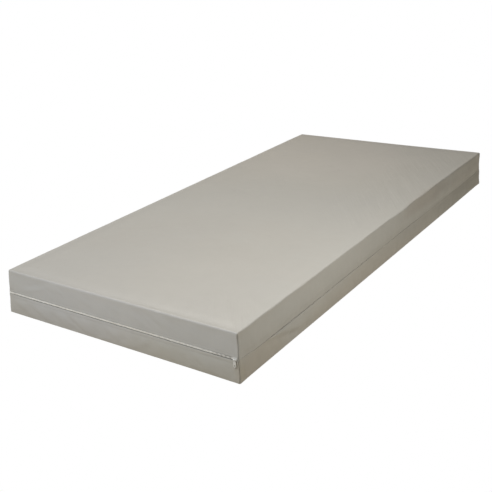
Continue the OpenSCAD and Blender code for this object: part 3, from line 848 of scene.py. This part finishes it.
# ---------------------------------------------------------------- zip coils
PITCH = 0.0023
for name, cad, body, sg in (("zip_coil_upper", "upper_coil", "lid", 1), ("zip_coil_lower", "lower_coil", "core", -1)):
    L = path_len(-0.0005, CHAIN_END)
    s = np.arange(PITCH * (0.6 if sg > 0 else 1.1), L - 0.001, PITCH)
    pos, nor = path_at(s, -0.0005, CHAIN_END)
    tan = np.stack([-nor[:, 1], nor[:, 0]], 1)
    n = len(s)
    c = np.zeros((n, 3))
    c[:, :2] = pos
    c[:, 2] = MID + sg * 0.00124 - 0.00010 + RNG.normal(0, 0.00002, n)
    lean = 0.13 * sg
    az = np.stack([tan[:, 0] * lean, tan[:, 1] * lean, np.full(n, 1.0)], 1)
    ax = np.stack([tan[:, 0], tan[:, 1], np.full(n, -lean)], 1)
    ay = np.stack([nor[:, 0], nor[:, 1], np.zeros(n)], 1)
    size = np.stack([np.full(n, 0.00106), np.full(n, 0.00122), np.full(n, 0.00160)], 1)
    o = scatter(name, c, ax, ay, az, size, capsule(6, 5), MAT["coil"])
    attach(o, body)
    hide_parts(cad)

# woven tapes behind the hems: thicker cord edge by the coil, a free edge that ripples a little
for name, cad, body, sg in (("zip_tape_upper", "upper_tape", "lid", 1), ("zip_tape_lower", "lower_tape", "core", -1)):
    t_lo, t_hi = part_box(cad)
    out_off = t_hi.y - WY
    z_in, z_out = (t_lo.z, t_hi.z) if sg > 0 else (t_hi.z, t_lo.z)
    L = path_len(out_off, t_hi.x)
    a_, q_ = t_hi.x + WX - CORNER_R, math.pi / 2 * (CORNER_R + out_off)
    b_ = 2 * (WY - CORNER_R)
    s = np.unique(np.concatenate([np.arange(0.0, L, 0.008), [L], np.linspace(a_ - 0.001, a_ + q_ + 0.001, 14),
                                  np.linspace(a_ + q_ + b_ - 0.001, a_ + 2 * q_ + b_ + 0.001, 14)]))
    s = s[np.concatenate([[True], np.diff(s) > 1e-5])]
    prof = [(0.00, 0.0), (0.06, -0.00005), (0.14, 0.0), (0.5, 0.0), (0.9, 0.0), (0.985, -0.00012), (1.0, -0.00030),
            (0.985, -0.00048), (0.9, -0.00060), (0.5, -0.00060), (0.14, -0.00060), (0.06, -0.00068), (0.0, -0.00060)]
    V = []
    for fr, dy in prof:
        ripple = 0.00016 * fr ** 2 * np.sin(s * 2 * math.pi / 0.061 + sg) * np.sin(s * 2 * math.pi / 0.173)
        pos, nor = path_at(s, out_off, t_hi.x)
        pos = pos + nor * (dy + ripple)[:, None]
        V.append(np.concatenate([pos, np.full((len(s), 1), z_in + (z_out - z_in) * fr)], 1))
    V = np.stack(V, 1).reshape(-1, 3)
    m_ = len(prof)
    F = []
    for k in range(len(s) - 1):
        for j in range(m_):
            q = (k * m_ + j, (k + 1) * m_ + j, (k + 1) * m_ + (j + 1) % m_, k * m_ + (j + 1) % m_)
            F.append(q if sg > 0 else q[::-1])
    n_ = (len(s) - 1) * m_
    F.append(tuple(range(m_)) if sg > 0 else tuple(range(m_))[::-1])
    F.append(tuple(n_ + j for j in range(m_))[::-1] if sg > 0 else tuple(n_ + j for j in range(m_)))
    o = make_obj(name, V, F, [MAT["tape"]])
    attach(o, body)
    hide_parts(cad)

# flat filler cord inside each coil
for name, body, sg in (("zip_cord_upper", "lid", 1), ("zip_cord_lower", "core", -1)):
    off = -0.0004
    L = path_len(off, CHAIN_END)
    a_, q_ = CHAIN_END + WX - CORNER_R, math.pi / 2 * (CORNER_R + off)
    b_ = 2 * (WY - CORNER_R)
    s = np.unique(np.concatenate([np.arange(0.0006, L - 0.0006, 0.02), np.linspace(a_ - 0.001, a_ + q_ + 0.001, 12),
                                  np.linspace(a_ + q_ + b_ - 0.001, a_ + 2 * q_ + b_ + 0.001, 12)]))
    V, F = [], []
    for off_, z_ in ((off, 0.0002), (off, 0.0024), (off - 0.0009, 0.0024), (off - 0.0009, 0.0002)):
        pos, nor = path_at(s * path_len(off_, CHAIN_END) / L, off_, CHAIN_END)
        V.append(np.concatenate([pos, np.full((len(s), 1), MID + sg * z_)], 1))
    V = np.stack(V, 1).reshape(-1, 3)
    for k in range(len(s) - 1):
        for j in range(4):
            q = (k * 4 + j, k * 4 + (j + 1) % 4, (k + 1) * 4 + (j + 1) % 4, (k + 1) * 4 + j)
            F.append(q if sg > 0 else q[::-1])
    F.append((0, 1, 2, 3) if sg < 0 else (3, 2, 1, 0))
    n4 = (len(s) - 1) * 4
    F.append((n4 + 3, n4 + 2, n4 + 1, n4) if sg < 0 else (n4, n4 + 1, n4 + 2, n4 + 3))
    o = make_obj(name, V, F, [MAT["coil"]], smooth_shade=False)
    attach(o, body)

# ---------------------------------------------------------------- stitches along the hems
def surface_tree(o):
    return BVHTree.FromPolygons([tuple(v.co) for v in o.data.vertices], [tuple(p.vertices) for p in o.data.polygons])


tree_u, tree_l = surface_tree(upper_o), surface_tree(lower_o)
for name, body, tree, sg, slotname in (("hem_stitches_upper", "lid", tree_u, 1, "cover_top_fabric"),
                                       ("hem_stitches_lower", "core", tree_l, -1, "cover_base_fabric")):
    x_end = 0.442
    L = path_len(0.0, x_end)
    s = np.arange(0.002, L - 0.002, 0.0034)
    pos, nor = path_at(s, 0.002, x_end)
    C, AX, AY, AZ = [], [], [], []
    for i in range(len(s)):
        hit = tree.find_nearest(Vector((pos[i, 0], pos[i, 1], MID + sg * ((GAP_UP if sg > 0 else GAP_LOW) + 0.0080))))
        if hit[0] is None:
            continue
        nn = Vector((nor[i, 0], nor[i, 1], 0.0))
        t = Vector((-nor[i, 1], nor[i, 0], 0.05 * sg)).normalized()
        C.append(hit[0] + nn * 0.00006)
        AZ.append(t)
        AY.append(nn)
        AX.append(nn.cross(t))
    k = len(C)
    size = np.tile([0.00026, 0.00022, 0.00128], (k, 1))
    o = scatter(name, np.array(C), np.array(AX), np.array(AY), np.array(AZ), size, capsule(6, 4), MAT["stitch"])
    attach(o, body)


# ---------------------------------------------------------------- tubes for sewn cords
def tube(points, radius, sides=6, wob=None):
    P = np.array(points, float)
    T = np.gradient(P, axis=0)
    T /= np.linalg.norm(T, axis=1, keepdims=True)
    up = np.array([0.0, 0.0, 1.0]) if abs(T[0][2]) < 0.9 else np.array([1.0, 0.0, 0.0])
    V, F = [], []
    for i in range(len(P)):
        a = np.cross(T[i], up)
        a /= np.linalg.norm(a)
        b = np.cross(T[i], a)
        r = radius * (1.0 if wob is None else wob[i])
        for j in range(sides):
            ph = 2 * math.pi * j / sides
            V.append(P[i] + r * (math.cos(ph) * a + math.sin(ph) * b))
    for i in range(len(P) - 1):
        for j in range(sides):
            k = (j + 1) % sides
            F.append((i * sides + j, i * sides + k, (i + 1) * sides + k, (i + 1) * sides + j))
    F.append(tuple(range(sides))[::-1])
    F.append(tuple((len(P) - 1) * sides + j for j in range(sides)))
    return V, F


def corner_cord(name, o, info, body, cad):
    co = get_co(o)
    V, F = [], []
    for ci, (i, j) in enumerate(((NX - 1, 0), (NX - 1, NY - 1), (0, NY - 1), (0, 0))):
        k = LOOP.index((i, j))
        idx = [info["wall0"] + r * NL + k for r in range(info["rows"])]
        pts = co[idx]
        out = np.array([math.copysign(1, XS[i]), math.copysign(1, YS[j]), 0.0]) / math.sqrt(2)
        pts = pts[2:] + out * 0.00030
        # resample evenly
        d = np.concatenate([[0], np.cumsum(np.linalg.norm(np.diff(pts, axis=0), axis=1))])
        t = np.arange(0, d[-1], 0.0009)
        pts = np.stack([np.interp(t, d, pts[:, c]) for c in range(3)], 1)
        wob = 1.0 + 0.28 * np.sin(t * 2 * math.pi / 0.0032)
        v, f = tube(pts, 0.00042, 6, wob)
        b = len(V)
        V += v
        F += [tuple(b + q for q in ff) for ff in f]
    c = make_obj(name, V, F, [MAT["seam"]])
    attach(c, body)
    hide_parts(cad)
    return c


corner_cord("corner_seam_threads_upper", upper_o, upper_i, "lid", "upper_corner_seams")
corner_cord("corner_seam_threads_lower", lower_o, lower_i, "core", "lower_corner_seams")

# ---------------------------------------------------------------- side seam: fabric strip and thread that bend between the halves
uco, lco = get_co(upper_o), get_co(lower_o)
side = [k for k in range(NL) if IS_RIGHT[k] and abs(LY[k]) < WY - 0.0055]
side.sort(key=lambda k: LY[k])
SY = LY[side]


ROW_E = [0.0058, 0.0044, 0.0030, 0.0018, 0.0008, 0.0]


def side_rows(co, info):
    start = info["wall0"] + (info["rows"] - len(ROW_E)) * NL
    return [co[[start + r * NL + k for k in side]] for r in range(len(ROW_E))]


LR, UR = side_rows(lco, lower_i), side_rows(uco, upper_i)


def seam_strip(name, y0, y1):
    """Seam allowance behind the two edges, and the sewn ridge between them; it bends between the halves."""
    pick = np.nonzero((SY >= y0 - 1e-6) & (SY <= y1 + 1e-6))[0]
    ys = SY[pick]
    yy = np.append(np.arange(ys[0], ys[-1] - 0.0005, 0.0011), ys[-1])

    def row(R, dx, dz=0.0):
        q = np.stack([np.interp(yy, ys, R[pick][:, c]) for c in range(3)], 1)
        q[:, 0] += dx
        q[:, 2] += dz
        return q
    lump = 1.0 + 0.8 * np.sin(yy * 2 * math.pi / 0.0044)
    inset = -(COVER_T + 0.00025)
    rows = [row(r, inset) for r in LR[:-1]]
    mid = (row(LR[-1], 0) + row(UR[-1], 0)) / 2
    low = np.minimum(row(LR[-1], 0)[:, 0], row(UR[-1], 0)[:, 0])
    for dz, dx in ((-0.00030, -0.0006), (-0.00022, -0.0001), (0.0, 0.00012), (0.00022, -0.0001), (0.00030, -0.0006)):
        q = mid.copy()
        q[:, 0] = low + dx * (lump if dx > -0.0005 else 1.0)
        q[:, 2] += dz
        rows.append(q)
    rows += [row(r, inset) for r in UR[:-1][::-1]]
    m = len(rows)
    V = np.stack(rows, 1).reshape(-1, 3)
    F, FM = [], []
    for a in range(len(yy) - 1):
        for b in range(m - 1):
            F.append((a * m + b, (a + 1) * m + b, (a + 1) * m + b + 1, a * m + b + 1))
            # faces beside the sewn ridge take the dark thread colour: painted shade in the gap between the halves
            FM.append(1 if 3 <= b <= 10 else 0)
    o = make_obj(name, V, F, [MAT["lining"], MAT["seam_side_shade"]], face_mats=FM)
    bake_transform(o)
    return o


mid_strip = seam_strip("side_seam_strip", -(WY - RISE_L), WY - RISE_L)
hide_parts("side_seam")
seam_strip("side_seam_strip_foot", -(WY - 0.0055), -(WY - RISE_L))
seam_strip("side_seam_strip_head", WY - RISE_L, WY - 0.0055)

# ---------------------------------------------------------------- finish the cover halves
thicken(upper_o, COVER_T)
thicken(lower_o, COVER_T)
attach(upper_o, "lid")
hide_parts("upper_cover")
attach(lower_o, "core")
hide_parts("lower_cover")


# ---------------------------------------------------------------- foam core
def skin_box(name, lo, hi, margins, steps, mat, plan_r=None, relief=None):
    """Closed block with rounded edges: six grids over a cuboid, rounded, then merged."""
    lo, hi = np.array(lo), np.array(hi)
    c, h = (lo + hi) / 2, (hi - lo) / 2
    m = np.array(margins, float)
    ax = []
    for k in range(3):
        fine = [0, m[k] * 0.2, m[k] * 0.45, m[k] * 0.72, m[k], m[k] * 1.5]
        ax.append(samples(h[k], fine, steps[k]))
    V, F, off = [], [], 0
    for k in range(3):
        a, b = (k + 1) % 3, (k + 2) % 3
        for s in (-1, 1):
            A, B = np.meshgrid(ax[a], ax[b], indexing="ij")
            pts = np.zeros((A.size, 3))
            pts[:, a], pts[:, b], pts[:, k] = A.ravel(), B.ravel(), s * h[k]
            V.append(pts)
            na, nb = A.shape
            g = off + np.arange(A.size).reshape(na, nb)
            for i in range(na - 1):
                for j in range(nb - 1):
                    q = (g[i, j], g[i + 1, j], g[i + 1, j + 1], g[i, j + 1])
                    F.append(q if s > 0 else q[::-1])
            off += A.size
    P = np.concatenate(V)
    inner = np.clip(P, -(h - m), h - m)
    d = (P - inner) / m
    ln = np.linalg.norm(d, axis=1, keepdims=True)
    P = inner + m * d / np.where(ln < 1e-9, 1, ln)
    P = P + c
    o = make_obj(name, P, F, [mat])
    import bmesh
    bm = bmesh.new()
    bm.from_mesh(o.data)
    bmesh.ops.remove_doubles(bm, verts=bm.verts, dist=1e-6)
    bm.to_mesh(o.data)
    bm.free()
    o.data.polygons.foreach_set("use_smooth", np.full(len(o.data.polygons), True))
    if relief is not None:
        co = get_co(o)
        set_co(o, relief(co, normals(o)))
    return o


def foam_relief(seed, amp):
    def f(co, n):
        k = waves(co[:, 0] + co[:, 2], co[:, 1] - co[:, 2], seed, 8, 0.05, 0.35, amp)
        return co - n * (np.abs(k))[:, None]
    return f


lo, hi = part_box("comfort_foam")
o = skin_box("comfort_foam_layer", lo, hi, (0.012, 0.014, 0.011), (0.03, 0.03, 0.01), MAT["foam_top"],
             relief=foam_relief(41, 0.0005))
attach(o, "core"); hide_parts("comfort_foam")

for nm, side_ in (("rail_left", -1), ("rail_right", 1)):
    lo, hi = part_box(nm)
    o = skin_box("foam_" + nm, lo, hi, (0.004, 0.010, 0.003), (0.02, 0.04, 0.012), MAT["foam_rail"],
                 relief=foam_relief(43, 0.0003))
    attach(o, "core"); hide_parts(nm)


def support_block():
    lo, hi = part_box("support_foam")
    rows_, cols_, cut, depth = 14, 6, 0.005, 0.035
    top, floor_z, bot = hi.z, hi.z - depth, lo.z

    def axis(a, b, n):
        pitch = (b - a) / n
        pts = [(a, 0), (a + 0.0012, 1)]
        for k in range(1, n):
            c = a + k * pitch
            pts += [(c - cut / 2 - 0.0012, 1), (c - cut / 2, 0.75), (c - cut / 2 + 0.0002, -1), (c + cut / 2 - 0.0002, -1),
                    (c + cut / 2, 0.75), (c + cut / 2 + 0.0012, 1)]
        pts += [(b - 0.0012, 1), (b, 0)]
        return pts
    X, Y = axis(lo.x, hi.x, cols_), axis(lo.y, hi.y, rows_)
    nx, ny = len(X), len(Y)
    V = []
    for xv, xs_ in X:
        for yv, ys_ in Y:
            s_ = min(xs_, ys_)
            V.append((xv, yv, floor_z if s_ < 0 else top - (0.0012 if s_ < 0.5 else (0.0004 if s_ < 1 else 0.0))))
    F = []
    g = np.arange(nx * ny).reshape(nx, ny)
    for i in range(nx - 1):
        for j in range(ny - 1):
            F.append((g[i, j], g[i + 1, j], g[i + 1, j + 1], g[i, j + 1]))
    loop = ([(i, 0) for i in range(nx - 1)] + [(nx - 1, j) for j in range(ny - 1)]
            + [(i, ny - 1) for i in range(nx - 1, 0, -1)] + [(0, j) for j in range(ny - 1, 0, -1)])
    prev = [g[i, j] for i, j in loop]
    for z in (floor_z - 0.001, (floor_z + bot) / 2, bot + 0.001):
        cur = list(range(len(V), len(V) + len(loop)))
        V += [(X[i][0], Y[j][0], z) for i, j in loop]
        for s in range(len(loop)):
            t = (s + 1) % len(loop)
            F.append((cur[s], cur[t], prev[t], prev[s]))
        prev = cur
    F.append(tuple(prev[::-1]))
    o = make_obj("support_foam_blocks", V, F, [MAT["foam_base"]], smooth_shade=False)
    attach(o, "core"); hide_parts("support_foam")


support_block()

# ---------------------------------------------------------------- CAD parts that stay, with their own finish
for nm, key in (("slider_body", "metal"), ("pull_tab", "tab"),
                ("upper_stop", "metal"), ("lower_stop", "metal"), ("end_retainer", "metal")):
    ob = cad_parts[nm]
    ob.data.materials.clear()
    ob.data.materials.append(MAT[key])
    if key in ("metal", "tab"):
        bv = ob.modifiers.new("edge", "BEVEL")
        bv.width = 0.00018
        bv.segments = 3
        bv.limit_method = "ANGLE"
        bv.angle_limit = math.radians(28)
        bv.use_clamp_overlap = True

# ---------------------------------------------------------------- floor, light, camera
FLOOR_BOUNCE = 0.475
SKY = 0.015
floor_me = bpy.data.meshes.new("floor")
S = 30.0
floor_me.from_pydata([(-S, -S, -0.0012), (S, -S, -0.0012), (S, S, -0.0012), (-S, S, -0.0012)], [], [(0, 1, 2, 3)])
floor = bpy.data.objects.new("floor", floor_me)
scene.collection.objects.link(floor)
fm, fnt, fb, fvec = new_mat("pale_floor")
fb.inputs["Base Color"].default_value = (0.30, 0.30, 0.30, 1)
fb.inputs["Roughness"].default_value = 0.9
fb.inputs["Specular IOR Level"].default_value = 0.0
# white to the camera; a softer, slightly warm bounce to the mattress
lp = node(fnt, "ShaderNodeLightPath")
bounce = node(fnt, "ShaderNodeEmission")
bounce.inputs["Color"].default_value = (1.0, 0.938, 0.798, 1)
bounce.inputs["Strength"].default_value = FLOOR_BOUNCE
white = node(fnt, "ShaderNodeEmission")
white.inputs["Color"].default_value = (1, 1, 1, 1)
white.inputs["Strength"].default_value = 1.0
mx = node(fnt, "ShaderNodeMixShader")
fnt.links.new(lp.outputs["Is Camera Ray"], mx.inputs[0])
fnt.links.new(bounce.outputs[0], mx.inputs[1])
fnt.links.new(white.outputs[0], mx.inputs[2])
outn = [n for n in fnt.nodes if n.type == "OUTPUT_MATERIAL"][0]
fnt.links.new(mx.outputs[0], outn.inputs["Surface"])
floor_me.materials.append(fm)

world = bpy.data.worlds.new("studio")
scene.world = world
world.use_nodes = True
wn = world.node_tree
wn.nodes.clear()
wo = wn.nodes.new("ShaderNodeOutputWorld")
bg1 = wn.nodes.new("ShaderNodeBackground")
bg2 = wn.nodes.new("ShaderNodeBackground")
wl = wn.nodes.new("ShaderNodeLightPath")
wm = wn.nodes.new("ShaderNodeMixShader")
bg1.inputs["Color"].default_value = (1.0, 0.96, 0.90, 1)
bg1.inputs["Strength"].default_value = SKY
bg2.inputs["Color"].default_value = (1, 1, 1, 1)
bg2.inputs["Strength"].default_value = 1.0
wn.links.new(wl.outputs["Is Camera Ray"], wm.inputs[0])
wn.links.new(bg1.outputs[0], wm.inputs[1])
wn.links.new(bg2.outputs[0], wm.inputs[2])
wn.links.new(wm.outputs[0], wo.inputs["Surface"])


def area(name, loc, target, size, power, color):
    l = bpy.data.lights.new(name, "AREA")
    l.shape = "RECTANGLE"
    l.size, l.size_y = size
    l.energy = power
    l.color = color
    o = bpy.data.objects.new(name, l)
    scene.collection.objects.link(o)
    o.location = loc
    o.rotation_mode = "QUATERNION"
    o.rotation_quaternion = (Vector(target) - Vector(loc)).to_track_quat("-Z", "Y")
    o.visible_camera = False
    return o


AIM = (0.0, -0.1, 0.07)
area("overhead", (-1.08, 0.91, 2.75), AIM, (1.2, 1.2), 43.3, (1.0, 0.954, 0.86))
area("key", (-0.59, -3.04, 2.47), AIM, (1.1, 1.1), 89.9, (0.836, 0.90, 1.0))
area("side_fill", (1.34, -0.59, 1.07), AIM, (0.7, 0.7), 11.2, (0.98, 1.0, 0.992))

cam_data = bpy.data.cameras.new("camera")
cam = bpy.data.objects.new("camera", cam_data)
scene.collection.objects.link(cam)
scene.camera = cam
AZ, EL, ROLL = math.radians(37.00), math.radians(1.92), math.radians(-3.38)
CAM = Vector((1.738, -2.884, 1.225))
fw = Vector((-math.sin(AZ) * math.cos(EL), math.cos(AZ) * math.cos(EL), -math.sin(EL)))
rt = fw.cross(Vector((0, 0, 1))).normalized()
up = rt.cross(fw)
r2 = math.cos(ROLL) * rt + math.sin(ROLL) * up
u2 = -math.sin(ROLL) * rt + math.cos(ROLL) * up
cam.matrix_world = Matrix(((r2.x, u2.x, -fw.x, CAM.x), (r2.y, u2.y, -fw.y, CAM.y), (r2.z, u2.z, -fw.z, CAM.z), (0, 0, 0, 1)))
cam_data.sensor_width = 36.0
cam_data.lens = 1.7669 * 36.0
cam_data.clip_start, cam_data.clip_end = 0.05, 100.0
SHIFT = ((246.0 - 175.78) / 492.0, (-41.85 - 246.0) / 492.0)


home = bpy.data.objects.new("camera_home", None)
scene.collection.objects.link(home)
home.location = CAM


def shift_driver(channel, value):
    """Lens shift that holds only while the camera stands in its own place, so other angles stay centred."""
    fc = cam_data.driver_add(channel)
    for md in list(fc.modifiers):
        fc.modifiers.remove(md)
    fc.driver.type = "SUM"
    var = fc.driver.variables.new()
    var.type = "LOC_DIFF"
    for t, ob in zip(var.targets, (cam, home)):
        t.id = ob
        t.transform_space = "WORLD_SPACE"
    while len(fc.keyframe_points):
        fc.keyframe_points.remove(fc.keyframe_points[0])
    for x, v in ((0.0, value), (0.02, value), (0.04, 0.0)):
        k = fc.keyframe_points.insert(x, v)
        k.interpolation = "LINEAR"
    fc.extrapolation = "CONSTANT"


shift_driver("shift_x", SHIFT[0])
shift_driver("shift_y", SHIFT[1])
scene.view_settings.view_transform = "Standard"
scene.view_settings.look = "None"
scene.view_settings.exposure = 0.0
scene.view_settings.gamma = 1.0

bpy.context.view_layer.update()
